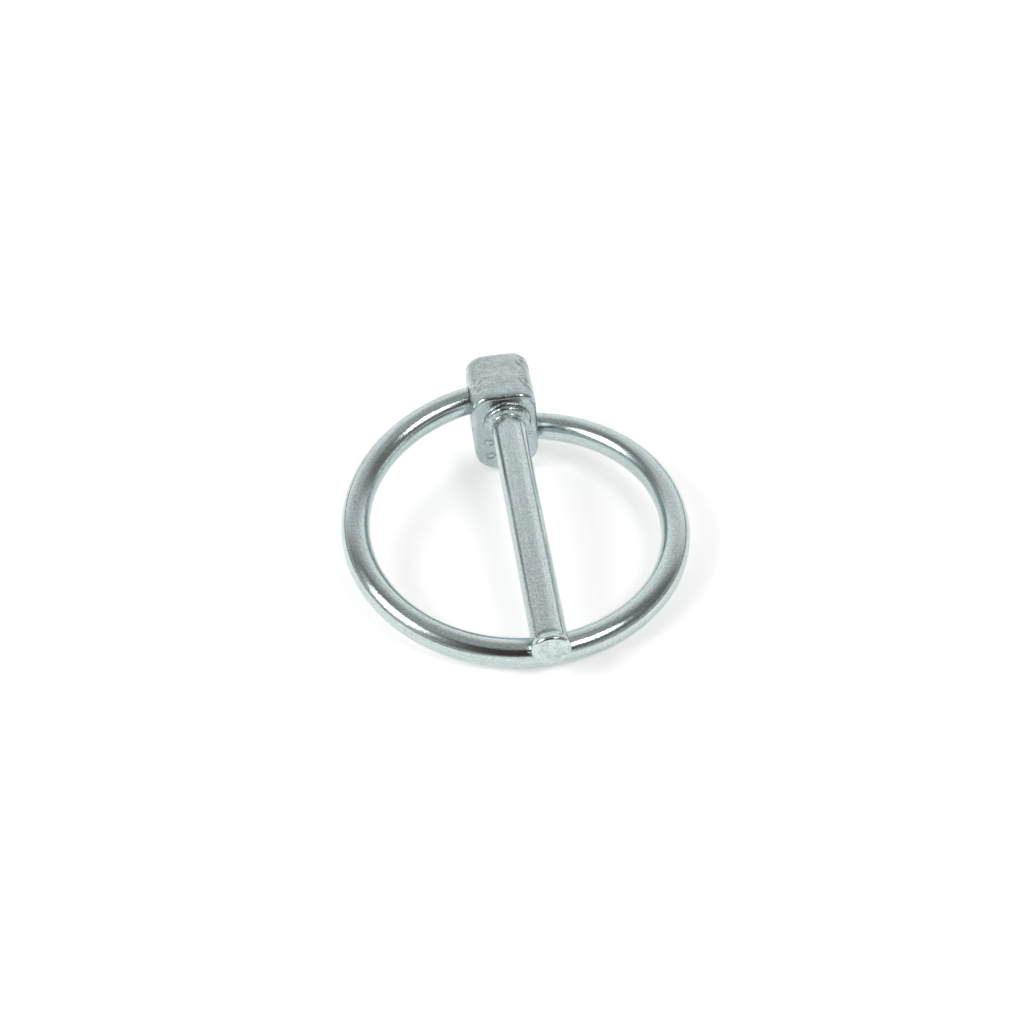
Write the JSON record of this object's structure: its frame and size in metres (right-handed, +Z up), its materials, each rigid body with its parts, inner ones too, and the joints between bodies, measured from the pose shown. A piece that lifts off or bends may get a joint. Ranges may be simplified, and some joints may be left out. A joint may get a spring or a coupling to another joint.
{
  "type": "lynch pin",
  "caption": "Quick-release lynch pin: a round shank on a tall block head, with a sprung snap ring of round wire that swings closed under the shank's tip.",
  "frame": {"origin": "on the floor under the centre of the bounding box, the part lying closed as it comes to rest", "axes": "+Z up; the shank points along -Y with its tip about 6 degrees down; the head is at +Y and leans about 3 degrees toward -X"},
  "size_m": [0.0446, 0.0494, 0.015],
  "materials": {
    "forging": "satin zinc plate",
    "spring_wire": "bright zinc plate, streaked"
  },
  "bodies": {
    "pin": {"pin": "forging"},
    "ring": {"ring": "spring_wire"}
  },
  "joints": [
    {"name": "ring_hinge", "type": "hinge", "parent": "pin", "child": "ring", "pos_m": [0.00096, 0.01955, 0.00742], "axis": [0.9987, 0, 0.0512], "range_deg": [0, 180], "stiffness_Nm_per_rad": 0.01}
  ]
}
